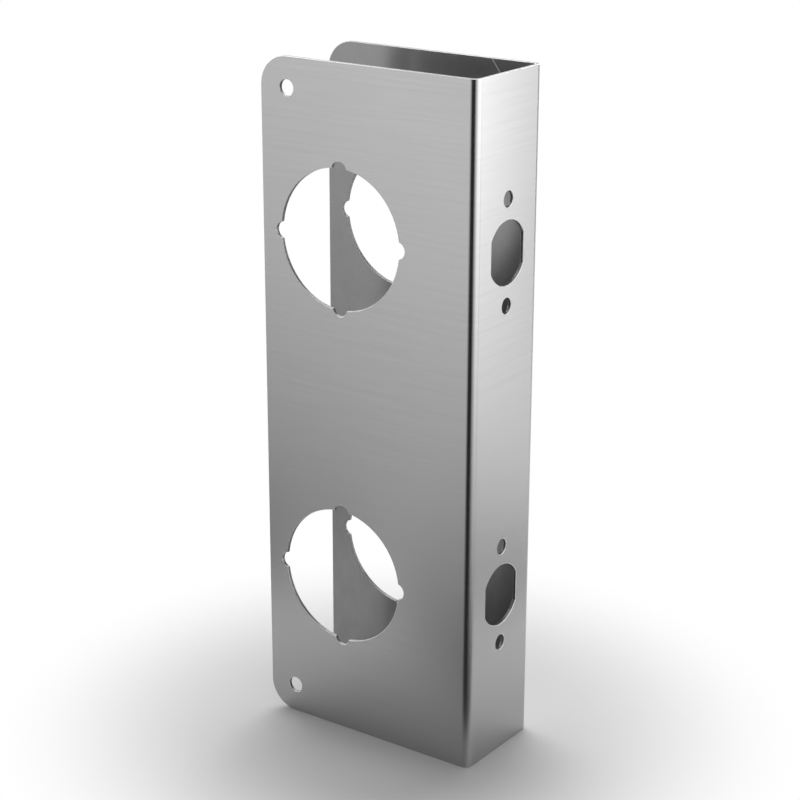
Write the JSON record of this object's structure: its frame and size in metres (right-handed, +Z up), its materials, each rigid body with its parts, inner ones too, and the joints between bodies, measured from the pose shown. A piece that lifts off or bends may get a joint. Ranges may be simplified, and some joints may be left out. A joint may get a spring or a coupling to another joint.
{
  "type": "wrap-around door reinforcement plate",
  "caption": "Folded steel channel that wraps the edge of a door round its lock bores and latches, with notched round bores, flatted latch openings and screw holes.",
  "frame": {"origin": "middle of the bottom of the bounding box", "axes": "+X from the free edges of the flanges to the edge strip, +Y through the thickness of the door, +Z up along the edge strip"},
  "size_m": [0.0996, 0.044, 0.276],
  "materials": {
    "satin_stainless": "satin, fine even grain across the width and round the folds; duller mill finish inside"
  },
  "bodies": {
    "root": {"wrap_plate": "satin_stainless"}
  },
  "joints": []
}
